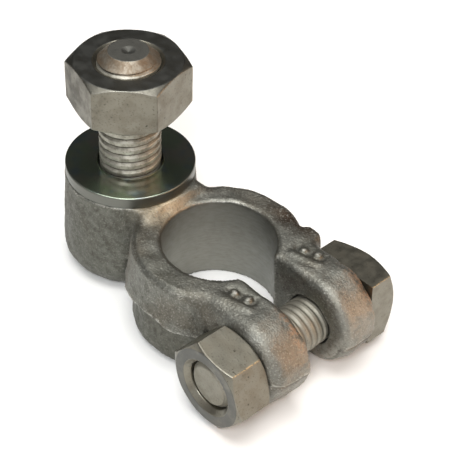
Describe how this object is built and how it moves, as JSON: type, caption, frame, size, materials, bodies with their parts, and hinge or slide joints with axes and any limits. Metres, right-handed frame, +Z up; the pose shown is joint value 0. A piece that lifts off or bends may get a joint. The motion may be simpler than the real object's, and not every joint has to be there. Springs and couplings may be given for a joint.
{
  "type": "battery terminal clamp",
  "caption": "Cast battery terminal clamp for a tapered positive post, with an M10 stud, washer and nut on a round boss and an M8 square-head pinch bolt and nut through its two ears.",
  "frame": {"origin": "axis of the tapered post bore at the underside of the collar", "axes": "+X from the stud boss towards the two ears, +Z up along the post bore towards its small end, +Y along the pinch bolt towards its square head"},
  "size_m": [0.0566, 0.0344, 0.0396],
  "materials": {
    "tinned_casting": "cast brass with a dull grey tin plating, copper-brown where it has worn",
    "zinc_steel": "pale zinc-plated steel, dull",
    "bright_steel": "smooth bright-plated washer"
  },
  "bodies": {
    "clamp": {"clamp_body": "tinned_casting", "terminal_stud": "zinc_steel", "stud_washer": "bright_steel"},
    "stud_nut": {"stud_nut": "zinc_steel"},
    "pinch_bolt": {"pinch_bolt": "zinc_steel"},
    "pinch_nut": {"pinch_nut": "zinc_steel"}
  },
  "joints": [
    {"name": "stud_nut_run", "type": "slide", "parent": "clamp", "child": "stud_nut", "axis": [0, 0, 1], "range_m": [-0.0107, 0.007]},
    {"name": "pinch_nut_turn", "type": "hinge", "parent": "clamp", "child": "pinch_nut", "pos_m": [0.0161, 0, 0.008], "axis": [0, -1, 0], "range_deg": [0, 1440]},
    {"name": "pinch_bolt_draw", "type": "slide", "parent": "clamp", "child": "pinch_bolt", "axis": [0, 1, 0], "range_m": [0, 0.0051]}
  ],
  "couplings": [
    {"joint": "pinch_bolt_draw", "follows": "pinch_nut_turn", "m_per_rad": 0.00019894}
  ]
}
